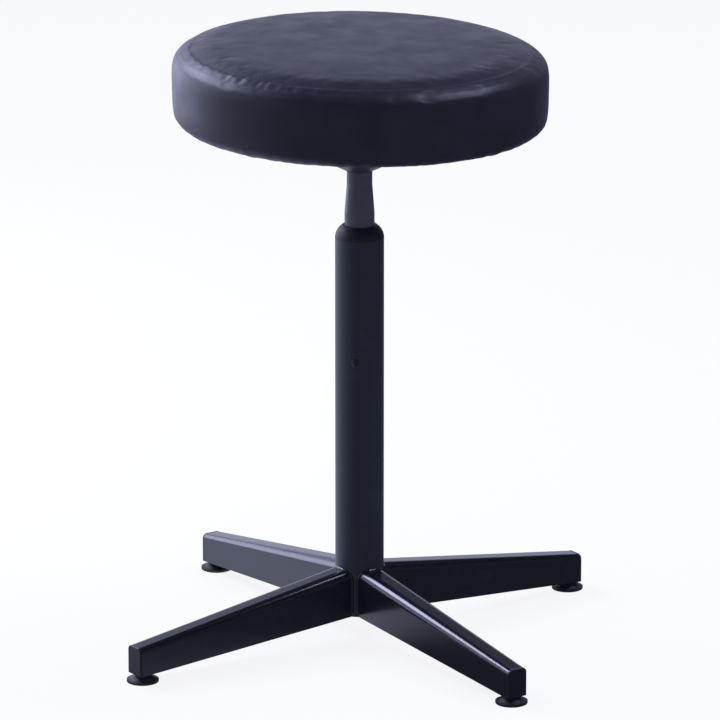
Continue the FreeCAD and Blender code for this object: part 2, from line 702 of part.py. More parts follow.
def guide_ring():
    """The nylon ring that slides in the column with the lift tube's foot and doesn't turn with it."""
    outer = f"{TUBE_BORE_R} - running_gap"
    washer("guide_ring", outer, f"{LIFT_R} + running_gap", RING_BASE, "guide_ring_height")


def snap_ring():
    inner = f"{LIFT_R} - clip_groove + weld_gap"
    washer("snap_ring", "clip_diameter / 2", inner, CLIP_BASE, "clip_thickness")


def bell_plate():
    """A swelling cone pressed from sheet, welded round the neck. Its flange carries the seat board."""
    neck = "(neck_diameter / 2 + weld_gap)"
    lip = f"({neck} + bell_lip)"
    flange_base = "(board_height - bell_wall)"
    slope = f"((bell_depth - bell_wall) / ({CONE_R} - {lip}))"
    rise = f"(bell_wall * sqrt(1 + {slope}^2))"
    inner_cone = f"({lip} + (bell_depth - {rise}) / {slope})"
    body = turned("bell_plate", [
        (neck, BELL_BOTTOM),
        (lip, BELL_BOTTOM),
        (CONE_R, flange_base, "bell_curve", "left"),
        (FLANGE_R, flange_base),
        (FLANGE_R, "board_height"),
        (inner_cone, "board_height"),
        (lip, f"{BELL_BOTTOM} + {rise}", "bell_curve - bell_wall", "right"),
        (neck, f"{BELL_BOTTOM} + {rise}"),
    ])
    rounded(body, "bell_bend", ring_edge(CONE_R, flange_base), "outer_bend")
    rounded(body, "bell_bend + bell_wall", ring_edge(inner_cone, "board_height"), "inner_bend")
    hole = bore(body, BOLT_HOLE_R, "board_height", "bell_wall", "bolt_circle_radius")
    round_pattern(body, [hole], "bolt_count")


def seat_board():
    """The plywood board, bored and sunk for the tee nuts."""
    body = turned("seat_board", [
        ("0", "board_height"),
        ("board_radius", "board_height"),
        ("board_radius", BOARD_TOP),
        ("0", BOARD_TOP),
    ])
    for height, name in (("board_height", "lower_edge"), (BOARD_TOP, "upper_edge")):
        rounded(body, "board_edge", ring_edge("board_radius", height), name)
    barrel_r = "tee_barrel_diameter / 2 + weld_gap"
    flange_r = "tee_flange_diameter / 2 + weld_gap"
    barrel = bore(body, barrel_r, BOARD_TOP, "board_thickness", "bolt_circle_radius")
    sink = bore(body, flange_r, BOARD_TOP, "tee_flange_thickness", "bolt_circle_radius", "sink")
    round_pattern(body, [barrel, sink], "bolt_count")


def seat_fasteners():
    """Four bolts with washers up through the bell's flange into tee nuts in the board."""
    screws = new_body("seat_bolts")
    head = new_sketch(screws, "XY_Plane", "seat_bolts_head", f"{WASHER_BASE} - bolt_head")
    draw(head, hexagon("bolt_flats", "bolt_circle_radius"))
    shank = new_sketch(screws, "XY_Plane", "seat_bolts_shank", WASHER_BASE)
    draw_circle(shank, "bolt_diameter / 2", "bolt_circle_radius")
    features = [pad(screws, head, "bolt_head"), pad(screws, shank, "bolt_length")]
    round_pattern(screws, features, "bolt_count")

    rings = new_body("seat_washers")
    disc = new_sketch(rings, "XY_Plane", "seat_washers_disc", WASHER_BASE)
    draw_circle(disc, "bolt_washer_diameter / 2", "bolt_circle_radius")
    features = [pad(rings, disc, "bolt_washer_thickness")]
    washer_top = f"{WASHER_BASE} + bolt_washer_thickness"
    features.append(bore(rings, BOLT_HOLE_R, washer_top, "bolt_washer_thickness", "bolt_circle_radius"))
    round_pattern(rings, features, "bolt_count")

    nuts = new_body("tee_nuts")
    flange_base = f"({BOARD_TOP} - tee_flange_thickness)"
    flange = new_sketch(nuts, "XY_Plane", "tee_nuts_flange", flange_base)
    draw_circle(flange, "tee_flange_diameter / 2", "bolt_circle_radius")
    barrel = new_sketch(nuts, "XY_Plane", "tee_nuts_barrel", flange_base)
    draw_circle(barrel, "tee_barrel_diameter / 2", "bolt_circle_radius")
    features = [pad(nuts, flange, "tee_flange_thickness")]
    features.append(pad(nuts, barrel, "tee_barrel_length", back=True))
    thread = "bolt_diameter / 2 + weld_gap"
    features.append(bore(nuts, thread, BOARD_TOP, "board_thickness", "bolt_circle_radius"))
    round_pattern(nuts, features, "bolt_count")


# The cushion: foam over and round the board, and a vinyl cover turned in under it.


def cushion_outline(gap):
    """The cushion's outside from the lower edge to the top's centre, drawn in by a gap.

    A rounded side band ends in the sewn seam, and the top panel swells up again inside it.
    """
    side = f"({SEAT_R} - {gap})"
    low = f"({COVER_BASE} + {gap})"
    high = f"({SEAT_TOP} - {gap})"
    side_foot = f"({COVER_BASE} + seat_bottom_rise)"
    seam = f"({SEAT_R} - seam_inset)"
    panel = f"({seam} - panel_edge_width)"
    crown_round = f"(({panel} - panel_flat)^2 + panel_crown^2) / (2 * panel_crown)"
    return [
        ("board_radius + seat_bottom_flat", low),
        (f"{side} - seat_side_lean", side_foot, f"seat_bottom_edge - {gap}", "left"),
        (side, f"{SEAT_TOP} - seat_shoulder_drop"),
        (seam, f"{high} - seam_drop", f"seat_shoulder_edge - {gap}", "left"),
        (panel, f"{high} - panel_crown", f"panel_edge - {gap}", "left"),
        ("panel_flat", high, crown_round, "left"),
        ("0", high),
    ]


def seat_foam():
    inner = "board_radius + seat_gap"
    over_board = f"{BOARD_TOP} + seat_gap"
    outline = cushion_outline(FOAM_GAP)
    turned("seat_foam", outline + [("0", over_board), (inner, over_board), (inner, outline[0][1])])


def seat_cover():
    """The cover. Its inside runs back from the centre, so its arcs turn the other way."""
    outside = cushion_outline("0")
    inside = cushion_outline("cover_thickness")
    back = [inside[-1][:2]]
    for corner, outer_corner in zip(inside[-2::-1], inside[:0:-1]):
        turn = (outer_corner[2], "right") if len(outer_corner) == 4 else ()
        back.append((*corner[:2], *turn))
    turned("seat_cover", outside + back + [(HEM_R, inside[0][1]), (HEM_R, outside[0][1])])


def dust_cloth():
    base = f"({COVER_BASE} - dust_cloth_thickness)"
    outer = "board_radius - dust_cloth_margin"
    washer("dust_cloth", outer, f"{FLANGE_R} + dust_cloth_clearance", base, "dust_cloth_thickness")


column_tube()
guide_sleeve()
sleeve_rivet()
base_plate()
spindle()
spindle_fasteners()
for leg_number in range(len(LEG_NAMES)):
    leg(leg_number)
    end_cap(leg_number)
    foot_plate(leg_number)
    weld_nut(leg_number)
    glide_pad(leg_number)
    glide_screw(leg_number)
lift_tube()
lift_nut()
nut_pin()
guide_ring()
snap_ring()
bell_plate()
seat_board()
seat_fasteners()
seat_foam()
seat_cover()
dust_cloth()

doc.recompute()
faults = [item.Label for item in doc.Objects if "Invalid" in item.State or "Error" in item.State]
bodies = [item for item in doc.Objects if item.TypeId == "PartDesign::Body"]
faults += [body.Label for body in bodies if body.Shape.isNull() or not body.Shape.isValid()]
if faults:
    raise ValueError(f"these didn't build: {faults}")

os.makedirs("parts", exist_ok=True)
for body in bodies:
    body.Shape.exportStep(f"parts/{body.Label}.step")
    print(body.Label, len(body.Shape.Solids), round(body.Shape.Volume, 1))
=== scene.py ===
import json
import math

import bmesh
import bpy
from mathutils import Matrix, Vector, noise


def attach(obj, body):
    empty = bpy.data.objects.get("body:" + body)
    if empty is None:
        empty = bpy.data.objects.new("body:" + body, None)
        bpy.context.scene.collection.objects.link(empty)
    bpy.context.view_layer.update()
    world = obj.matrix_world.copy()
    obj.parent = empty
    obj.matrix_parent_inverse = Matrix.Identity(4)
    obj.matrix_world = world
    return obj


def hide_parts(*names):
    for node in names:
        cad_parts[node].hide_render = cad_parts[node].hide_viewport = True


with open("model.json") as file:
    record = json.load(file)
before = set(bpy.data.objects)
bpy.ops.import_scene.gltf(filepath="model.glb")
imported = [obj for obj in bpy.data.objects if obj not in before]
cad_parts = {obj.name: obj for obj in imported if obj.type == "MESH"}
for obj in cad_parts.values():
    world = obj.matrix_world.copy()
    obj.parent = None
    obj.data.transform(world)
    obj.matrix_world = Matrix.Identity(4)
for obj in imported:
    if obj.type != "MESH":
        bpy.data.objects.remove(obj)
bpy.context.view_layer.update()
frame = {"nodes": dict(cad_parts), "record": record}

# Workshop stool with a screw lift: what the solids don't show, the finishes, the lamps and the camera.
# Sizes are written in millimetres and made metres with MM. The floor is z = 0 and +Z is up.

MM = 0.001
NODES = frame["nodes"]
LEGS = ("rear_right", "rear_left", "front_left", "front_right")
LEG_ANGLES = {leg: math.radians(45 + 90 * number) for number, leg in enumerate(LEGS)}

# the photograph's view, with the image taken as 720 by 720 pixels
VIEW_AZIMUTH = math.radians(10.24)
VIEW_ELEVATION = math.radians(15.9)
VIEW_PITCH = math.radians(16.048)
VIEW_YAW = math.radians(10.236)
VIEW_TARGET = Vector((0, 0, 306)) * MM
VIEW_DISTANCE = 6630 * MM
VIEW_LENS = 331.5

# the seat, as the solids have it
SEAT_RADIUS = 186.0
SEAM_RADIUS = 167.0
HEM_RADIUS = 150.0
TOP_PANEL_LOW = 598.0

# how far the settled cushion leans to the right of the view, and how far it has crept that way
CUSHION_LEAN = math.radians(1.0)
CUSHION_CREEP = 0.8


# Shaping


def deselect():
    """Leaves nothing selected, so that the next step acts on its own piece alone."""
    if bpy.context.object and bpy.context.object.mode != "OBJECT":
        bpy.ops.object.mode_set(mode="OBJECT")
    bpy.ops.object.select_all(action="DESELECT")


def pick(piece):
    """Makes one piece the selected and active one."""
    deselect()
    piece.select_set(True)
    bpy.context.view_layer.objects.active = piece
    return piece


def settle(piece, name):
    """Names a piece and puts its place, turn and size into its mesh."""
    pick(piece)
    piece.name = name
    piece.data.name = name
    bpy.ops.object.transform_apply(location=True, rotation=True, scale=True)
    return piece


def edit(piece, kind="VERT"):
    pick(piece)
    bpy.ops.object.mode_set(mode="EDIT")
    bpy.ops.mesh.select_mode(type=kind)


def leave_edit():
    bpy.ops.object.mode_set(mode="OBJECT")


def choose(piece, test):
    """In edit mode, selects the vertices that the test chooses by their place in millimetres."""
    bpy.ops.mesh.select_mode(type="VERT")
    bpy.ops.mesh.select_all(action="DESELECT")
    mesh = bmesh.from_edit_mesh(piece.data)
    for vertex in mesh.verts:
        vertex.select = test(vertex.co / MM)
    mesh.select_flush_mode()
    bmesh.update_edit_mesh(piece.data)


def finish_skin(piece):
    """Closes doubles and turns every face outwards, in edit mode."""
    bpy.ops.mesh.select_all(action="SELECT")
    bpy.ops.mesh.remove_doubles(threshold=0.01 * MM)
    bpy.ops.mesh.normals_make_consistent(inside=False)
    leave_edit()


def apply_modifier(piece, kind, **settings):
    """Adds a modifier with its settings and applies it."""
    pick(piece)
    modifier = piece.modifiers.new(kind.title(), kind)
    for name, amount in settings.items():
        setattr(modifier, name, amount)
    bpy.ops.object.modifier_apply(modifier=modifier.name)


def smooth(piece, degrees=35):
    pick(piece)
    bpy.ops.object.shade_smooth_by_angle(angle=math.radians(degrees))


def line_up(name, corners):
    """Draws a line through corners, each a radius and a height in millimetres, in the plane y = 0."""
    deselect()
    bpy.ops.mesh.primitive_plane_add(size=2 * MM, location=(0, 0, 0))
    piece = bpy.context.object
    edit(piece)
    choose(piece, lambda place: place.x > 0 or place.y > 0)
    bpy.ops.mesh.delete(type="VERT")
    bpy.ops.mesh.select_all(action="SELECT")
    start = Vector((corners[0][0] + 1, 1, corners[0][1])) * MM
    bpy.ops.transform.translate(value=start)
    for last, corner in zip(corners, corners[1:]):
        step = Vector((corner[0] - last[0], 0, corner[1] - last[1])) * MM
        bpy.ops.mesh.extrude_vertices_move(TRANSFORM_OT_translate={"value": step})
    leave_edit()
    return settle(piece, name)


def turned(name, corners, steps, closed=False):
    """Spins a line of corners round the upright axis. A closed one joins its last corner to its first."""
    piece = line_up(name, list(corners) + [corners[0]] if closed else corners)
    edit(piece)
    bpy.ops.mesh.select_all(action="SELECT")
    bpy.ops.mesh.spin(steps=steps, angle=2 * math.pi, center=(0, 0, 0), axis=(0, 0, 1))
    finish_skin(piece)
    return piece


def copy_of(piece, name, angle=0.0, shift=(0, 0, 0)):
    """A copy with its own mesh, turned about the upright axis after a shift in millimetres."""
    copy = bpy.data.objects.new(name, piece.data.copy())
    bpy.context.scene.collection.objects.link(copy)
    copy.data.transform(Matrix.Rotation(angle, 4, "Z") @ Matrix.Translation(Vector(shift) * MM))
    copy.data.name = name
    return copy


def joined(pieces, name):
    deselect()
    for piece in pieces:
        piece.select_set(True)
    bpy.context.view_layer.objects.active = pieces[0]
    bpy.ops.object.join()
    return settle(bpy.context.object, name)


def place(piece, body, slot, material, replaced=()):
    """Gives a new piece its body, its slot, its finish and the solids that it stands for."""
    piece.data.materials.clear()
    piece.data.materials.append(material)
    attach(piece, body)
    if replaced:
        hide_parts(*replaced)


def waver(vector, size, seed=0.0):
    """Soft noise from -1 to 1 with a size in millimetres."""
    return noise.noise(vector / size + Vector((seed, 7.3 * seed, -3.1 * seed)))


def smoothstep(low, high, amount):
    share = min(max((amount - low) / (high - low), 0.0), 1.0)
    return share * share * (3 - 2 * share)


def view_space(right, forward, up):
    """A place given to the right of, behind and over the stool as the photograph sees it, in metres."""
    cosine, sine = math.cos(VIEW_AZIMUTH), math.sin(VIEW_AZIMUTH)
    return Vector((right * cosine - forward * sine, right * sine + forward * cosine, up))


# Finishes


def linear(code):
    """An sRGB hex colour as linear red, green, blue and alpha."""
    parts = [int(code[place:place + 2], 16) / 255 for place in (1, 3, 5)]
    return [part / 12.92 if part <= 0.04045 else ((part + 0.055) / 1.055) ** 2.4 for part in parts] + [1.0]


def add(tree, kind, inputs=(), **settings):
    """Adds a node. Inputs are pairs of a socket and its value or the socket that feeds it."""
    node = tree.nodes.new(kind)
    for name, amount in settings.items():
        setattr(node, name, amount)
    for socket, source in inputs:
        if isinstance(source, bpy.types.NodeSocket):
            tree.links.new(source, node.inputs[socket])
        else:
            node.inputs[socket].default_value = source
    return node


def start_finish(name, colour, **settings):
    """A material with its shader, and the surface's own place on the object."""
    material = bpy.data.materials.new(name)
    material.use_nodes = True
    tree = material.node_tree
    shader = tree.nodes["Principled BSDF"]
    shader.inputs["Base Color"].default_value = linear(colour)
    for socket, amount in settings.items():
        shader.inputs[socket.replace("_", " ")].default_value = amount
    spot = add(tree, "ShaderNodeTexCoord").outputs["Object"]
    return material, tree, shader, spot


def grain(tree, spot, size, detail=2.0, roughness=0.5):
    """Cloudy noise whose lumps are a size in millimetres across."""
    inputs = [("Vector", spot), ("Scale", 1 / (size * MM))]
    inputs += [("Detail", detail), ("Roughness", roughness)]
    return add(tree, "ShaderNodeTexNoise", inputs).outputs["Fac"]


def ramp(tree, amount, low, high, start=0.0, end=1.0):
    """Spreads the part of an amount from low to high over start to end."""
    inputs = [(0, amount), (1, low), (2, high), (3, start), (4, end)]
    return add(tree, "ShaderNodeMapRange", inputs).outputs[0]


def blend_colours(tree, amount, first, second):
    inputs = [("Factor", amount), (6, linear(first)), (7, linear(second))]
    return add(tree, "ShaderNodeMix", inputs, data_type="RGBA").outputs[2]


def emboss(tree, shader, layers):
    """Stacks bumps on a shader. A layer is a height socket, its depth in millimetres and its strength."""
    normal = None
    for height, depth, strength in layers:
        inputs = [("Height", height), ("Distance", depth * MM), ("Strength", strength)]
        if normal:
            inputs.append(("Normal", normal))
        normal = add(tree, "ShaderNodeBump", inputs).outputs["Normal"]
    tree.links.new(normal, shader.inputs["Normal"])


def feed(tree, source, shader, socket):
    tree.links.new(source, shader.inputs[socket])


def upholstery_vinyl():
    """Expanded vinyl on knitted backing, embossed with a fine grain: a soft gloss broken by the grain."""
    gloss = {"Roughness": 0.42, "Specular_IOR_Level": 0.42}
    material, tree, shader, spot = start_finish("embossed_upholstery_vinyl", "#20212C", **gloss)
    tint = ramp(tree, grain(tree, spot, 38, 3.0), 0.35, 0.65)
    feed(tree, blend_colours(tree, tint, "#1E1F2A", "#232430"), shader, "Base Color")
    feed(tree, ramp(tree, grain(tree, spot, 26, 3.0), 0.35, 0.65, 0.38, 0.46), shader, "Roughness")
    # the real grain is 0.6 mm across and is drawn as 1.6 mm, so that it shows
    cells = add(tree, "ShaderNodeTexVoronoi", [("Vector", spot), ("Scale", 1 / (1.6 * MM))])
    layers = [
        (grain(tree, spot, 34, 1.0), 0.5, 0.3),
        (grain(tree, spot, 10, 2.0), 0.1, 0.2),
        (cells.outputs["Distance"], 0.1, 0.12),
    ]
    emboss(tree, shader, layers)
    return material


def baked_enamel(name, colour, worn, roughness, gloss=0.5):
    """Stoved enamel on steel: smooth gloss with a faint orange peel, dust and rubbed places."""
    material, tree, shader, spot = start_finish(name, colour, Roughness=roughness, Specular_IOR_Level=gloss)
    rub = ramp(tree, grain(tree, spot, 26, 4.0, 0.6), 0.55, 0.75)
    feed(tree, blend_colours(tree, rub, colour, worn), shader, "Base Color")
    dust = grain(tree, spot, 16, 3.0, 0.55)
    feed(tree, ramp(tree, dust, 0.35, 0.7, roughness * 0.92, roughness * 1.12), shader, "Roughness")
    peel, runs = grain(tree, spot, 3.2, 1.0), grain(tree, spot, 18, 2.0)
    emboss(tree, shader, [(peel, 0.05, 0.14), (runs, 0.12, 0.16)])
    return material


def plated_steel(name, colour, roughness, fleck):
    """Steel with a thin plated coat: metal with small dull spangles where the coat is thicker."""
    material, tree, shader, spot = start_finish(name, colour, Metallic=1.0, Roughness=roughness)
    cells = add(tree, "ShaderNodeTexVoronoi", [("Vector", spot), ("Scale", 1 / (2.2 * MM))])
    tone = add(tree, "ShaderNodeSeparateColor", [(0, cells.outputs["Color"])]).outputs[0]
    feed(tree, blend_colours(tree, tone, colour, fleck), shader, "Base Color")
    feed(tree, ramp(tree, tone, 0, 1, roughness * 0.8, roughness * 1.3), shader, "Roughness")
    emboss(tree, shader, [(grain(tree, spot, 0.9, 2.0), 0.02, 0.4)])
    return material


def moulded_plastic(name, colour, scuffed, roughness):
    """Injection-moulded plastic: even colour, a fine spark-eroded texture and pale scuffs."""
    material, tree, shader, spot = start_finish(name, colour, Roughness=roughness)
    scuff = ramp(tree, grain(tree, spot, 11, 5.0, 0.65), 0.58, 0.78)
    feed(tree, blend_colours(tree, scuff, colour, scuffed), shader, "Base Color")
    feed(tree, ramp(tree, scuff, 0, 1, roughness, roughness * 1.4), shader, "Roughness")
    emboss(tree, shader, [(grain(tree, spot, 0.8, 2.0), 0.04, 0.4)])
    return material


def birch_plywood():
    """Rotary-cut birch ply: a pale face with long grain, and dark glue lines between the plies."""
    material, tree, shader, spot = start_finish("birch_plywood", "#C9A877", Roughness=0.62)
    stretched = add(tree, "ShaderNodeMapping", [("Vector", spot), ("Scale", (1.0, 0.08, 1.0))]).outputs[0]
    figure = ramp(tree, grain(tree, stretched, 6, 4.0, 0.6), 0.3, 0.7)
    face = blend_colours(tree, figure, "#D2B487", "#B48F5E")
    bands = [("Vector", spot), ("Scale", 1 / (20 * MM))]
    plies = add(tree, "ShaderNodeTexWave", bands, bands_direction="Z").outputs["Fac"]
    layers = [("Factor", ramp(tree, plies, 0.75, 0.95)), (6, face), (7, linear("#7A5A38"))]
    mixed = add(tree, "ShaderNodeMix", layers, data_type="RGBA")
    feed(tree, mixed.outputs[2], shader, "Base Color")
    emboss(tree, shader, [(figure, 0.08, 0.4)])
    return material


def open_foam():
    """Cut polyurethane foam: soft, pale and full of small open cells."""
    material, tree, shader, spot = start_finish("cut_polyurethane_foam", "#D9CFA8", Roughness=0.95)
    cells = add(tree, "ShaderNodeTexVoronoi", [("Vector", spot), ("Scale", 1 / (1.4 * MM))])
    feed(tree, blend_colours(tree, cells.outputs["Distance"], "#A89C74", "#E0D7B2"), shader, "Base Color")
    emboss(tree, shader, [(cells.outputs["Distance"], 0.5, 0.7)])
    return material


def bonded_cloth():
    """Spun-bonded dust cloth: dull black fibres with a small stamped diamond pattern."""
    material, tree, shader, spot = start_finish("spun_bonded_cloth", "#202022", Roughness=0.9)
    askew = [("Vector", spot), ("Rotation", (0, 0, math.pi / 4))]
    diamond = add(tree, "ShaderNodeMapping", askew).outputs[0]
    cells = add(tree, "ShaderNodeTexBrick", [("Vector", diamond), ("Scale", 1 / (5 * MM))], offset=0.0)
    cells.inputs["Brick Width"].default_value = 0.5
    cells.inputs["Row Height"].default_value = 0.5
    cells.inputs["Mortar Size"].default_value = 0.06
    fibres = grain(tree, spot, 1.2, 4.0, 0.7)
    tint = ramp(tree, fibres, 0.3, 0.7)
    feed(tree, blend_colours(tree, tint, "#18181A", "#2E2E31"), shader, "Base Color")
    emboss(tree, shader, [(fibres, 0.12, 0.5), (cells.outputs["Fac"], 0.1, 0.5)])
    return material


def all_finishes():
    """Every finish, by the slot of the record that it belongs to."""
    return {
        "black_enamel": baked_enamel("stoved_black_enamel", "#262A33", "#2B2F38", 0.32),
        # the legs take a darker copy of the black enamel: painted shade for the shadow near the floor that
        # the floor's glow does not give
        "leg_enamel": baked_enamel("stoved_leg_enamel_painted_shade", "#14171E", "#191C24", 0.18, 1.0),
        "grey_enamel": baked_enamel("stoved_tube_enamel", "#47484F", "#4D4E57", 0.28),
        "zinc_steel": plated_steel("zinc_plated_steel", "#B9BCC0", 0.36, "#9FA3A8"),
        "bright_steel": plated_steel("oiled_bright_steel", "#8F9092", 0.32, "#7C7D80"),
        "black_rivet": baked_enamel("stoved_rivet_enamel", "#1B1E26", "#20232B", 0.26),
        "brass_nut": plated_steel("cast_brass", "#B08A45", 0.38, "#957235"),
        "black_nylon": moulded_plastic("moulded_black_nylon", "#1B1C21", "#212227", 0.55),
        "natural_nylon": moulded_plastic("moulded_natural_nylon", "#D8D3C2", "#C4BFAE", 0.45),
        "cap_plastic": moulded_plastic("moulded_cap_plastic", "#15181E", "#1C1F26", 0.34),
        "plywood": birch_plywood(),
        "foam": open_foam(),
        "navy_vinyl": upholstery_vinyl(),
        "dust_cloth": bonded_cloth(),
    }


def dress_solids(finishes):
    """Gives every solid the finish of its slot."""
    for subpart in frame["record"]["subparts"]:
        for entry in NODES[subpart["node"]].material_slots:
            entry.material = finishes[subpart["material_slot"]]


# The cushion


CUSHION_OUTLINE = [
    (150.0, 531.6),
    (156.0, 531.0),
    (162.0, 530.3),
    (169.8, 530.4),
    (176.6, 532.0),
    (181.6, 535.1),
    (184.5, 539.5),
    (185.3, 545.0),
    (186.2, 552.0),
    (186.4, 562.0),
    (186.6, 573.0),
    (186.8, 583.5),
    (186.2, 592.0),
    (182.9, 599.3),
    (177.2, 604.0),
    (172.2, 605.9),
    (169.2, 606.6),
    (167.0, 607.0),
    (164.8, 607.8),
    (159.5, 609.2),
    (150.0, 611.0),
    (140.0, 612.3),
    (125.0, 613.5),
    (100.0, 614.4),
    (60.0, 614.9),
    (25.0, 615.1),
    (0.0, 615.1),
]
CUSHION_STEPS = 54


def cushion_form():
    """The cover's skin: hem under the board, side band, sewn seam and crowned top."""
    piece = turned("seat_cushion", CUSHION_OUTLINE, CUSHION_STEPS)
    apply_modifier(piece, "SUBSURF", levels=2, render_levels=2)
    return piece


def held_by_making(place):
    """How firmly a point is held: 1 at the hem, the seam and the middle, 0 where the cover swells."""
    if place.z < TOP_PANEL_LOW:
        return 1 - smoothstep(533.0, 541.0, place.z)
    radius = math.hypot(place.x, place.y)
    seam = 0.6 - 0.6 * smoothstep(1.0, 6.0, abs(radius - SEAM_RADIUS))
    middle = 1 - smoothstep(110.0, 150.0, radius)
    return max(seam, middle)


def swell(piece, cap):
    """Lets the foam fill the cover: cloth under pressure, held at hem and seam, moved by a cap at most."""
    rest = [vertex.co.copy() for vertex in piece.data.vertices]
    holding = piece.vertex_groups.new(name="holding")
    for vertex in piece.data.vertices:
        holding.add([vertex.index], held_by_making(vertex.co / MM), "REPLACE")
    pick(piece)
    cloth = piece.modifiers.new("Cloth", "CLOTH")
    cloth.settings.quality = 6
    cloth.settings.mass = 0.3
    cloth.settings.tension_stiffness = 12
    cloth.settings.compression_stiffness = 12
    cloth.settings.shear_stiffness = 6
    cloth.settings.bending_stiffness = 0.6
    cloth.settings.vertex_group_mass = "holding"
    cloth.settings.shrink_min = -0.002
    cloth.settings.use_pressure = True
    cloth.settings.uniform_pressure_force = 4
    cloth.settings.effector_weights.gravity = 0
    cloth.collision_settings.use_collision = False
    cloth.point_cache.frame_start = 1
    cloth.point_cache.frame_end = 20
    for number in range(1, 21):
        bpy.context.scene.frame_set(number)
    bpy.ops.object.modifier_apply(modifier=cloth.name)
    for vertex, home in zip(piece.data.vertices, rest):
        moved = vertex.co - home
        if moved.length > cap * MM:
            vertex.co = home + moved.normalized() * cap * MM
    bpy.context.scene.frame_set(1)
    piece.vertex_groups.clear()


def pucker(piece):
    """Adds what sewing and stapling do: puckers outside the seam, most at the left, and hem pleats."""
    normals = [vertex.normal.copy() for vertex in piece.data.vertices]
    left = view_space(-0.8, -0.6, 0)
    for vertex, normal in zip(piece.data.vertices, normals):
        spot = vertex.co / MM
        radius = math.hypot(spot.x, spot.y)
        angle = math.atan2(spot.y, spot.x)
        around = Vector((math.cos(angle), math.sin(angle), 0)) * SEAT_RADIUS
        amount = 0.3 * waver(spot, 60, 4.0) * smoothstep(536, 548, spot.z)
        if spot.z > 575:
            patch = smoothstep(0.1, 0.9, around.normalized().dot(left))
            outside = smoothstep(SEAM_RADIUS - 2, SEAM_RADIUS + 2, radius)
            away = abs(radius - SEAM_RADIUS) + max(604 - spot.z, 0) * outside
            stripe = waver(around + Vector((0, 0, spot.z * 0.3)), 6.0, 2.0)
            amount += (0.06 + 0.5 * outside * patch) * (1 - smoothstep(0, 18, away)) * stripe
        if spot.z < 552 and radius > HEM_RADIUS + 4:
            pleat = waver(around, 9.0, 3.0)
            amount += 0.8 * (1 - smoothstep(532, 548, spot.z)) * max(pleat, -0.2)
        vertex.co += normal * amount * MM
    piece.data.update()


def lean(piece):
    """The foam has settled to the right of the view, so all but the hem leans that way."""
    right = view_space(1, 0, 0)
    for vertex in piece.data.vertices:
        spot = vertex.co / MM
        radius = math.hypot(spot.x, spot.y)
        share = max(smoothstep(533.5, 545, spot.z), smoothstep(160, 178, radius))
        vertex.co.z -= share * vertex.co.dot(right) * math.tan(CUSHION_LEAN)
        vertex.co += share * CUSHION_CREEP * MM * right


def cushion(finishes):
    piece = cushion_form()
    swell(piece, 1.0)
    apply_modifier(piece, "SUBSURF", levels=1, render_levels=1)
    pucker(piece)
    lean(piece)
    apply_modifier(piece, "SOLIDIFY", thickness=1.2 * MM, offset=-1.0)
    smooth(piece, 60)
    place(piece, "seat", "navy_vinyl", finishes["navy_vinyl"], ["seat_cover", "seat_foam"])


# Under the seat


CLOTH_INNER = 100.0
CLOTH_OUTER = 160.0
STAPLE_COUNT = 30


def dust_sheet(finishes):
    """The black cloth under the board, pulled flat by its staples and a little slack between them."""
    rings = [(CLOTH_INNER + 3.0 * step, 531.0) for step in range(21)]
    piece = turned("dust_sheet", rings, 180)
    for vertex in piece.data.vertices:
        spot = vertex.co / MM
        radius = math.hypot(spot.x, spot.y)
        angle = math.atan2(spot.y, spot.x)
        between = math.sin(STAPLE_COUNT * angle / 2) ** 2
        edge = smoothstep(135, 158, radius)
        vertex.co.z -= (0.25 + 0.5 * edge * between + 0.35 * waver(spot, 24, 5.0)) * MM
    apply_modifier(piece, "SOLIDIFY", thickness=0.4 * MM, offset=0.0)
    smooth(piece, 60)
    place(piece, "seat", "dust_cloth", finishes["dust_cloth"], ["dust_cloth"])


def staple():
    """One upholstery staple: a flat crown with its ends bent up into the board."""
    deselect()
    bpy.ops.mesh.primitive_cube_add(size=1)
    piece = bpy.context.object
    piece.scale = Vector((9.6, 1.2, 0.6)) * MM
    settle(piece, "staple")
    edit(piece)
    bpy.ops.mesh.select_all(action="SELECT")
    bpy.ops.mesh.subdivide(number_cuts=2)
    choose(piece, lambda spot: spot.z > 0.2 and abs(spot.x) > 1.7)
    bpy.ops.transform.translate(value=(0, 0, 0.25 * MM))
    bpy.ops.mesh.select_all(action="SELECT")
    bpy.ops.mesh.bevel(offset=0.12 * MM, segments=1)
    leave_edit()
    return piece


def cloth_staples(finishes):
    """The ring of staples that holds the cloth, each a little off its place as a hand tool leaves it."""
    pattern = staple()
    copies = []
    for number in range(STAPLE_COUNT):
        off = waver(Vector((number * 3.7, 0, 0)), 1.0, 6.0)
        angle = 2 * math.pi * (number + 0.12 * off) / STAPLE_COUNT
        piece = copy_of(pattern, f"staple_{number}", math.pi / 2 + 0.35 * off)
        radius = CLOTH_OUTER - 6 + 1.5 * off
        piece.data.transform(Matrix.Translation(Vector((radius, 0, 529.9)) * MM))
        piece.data.transform(Matrix.Rotation(angle, 4, "Z"))
        copies.append(piece)
    bpy.data.objects.remove(pattern)
    piece = joined(copies, "cloth_staples")
    smooth(piece)
    place(piece, "seat", "zinc_steel", finishes["zinc_steel"])


# Threads, nuts and screws


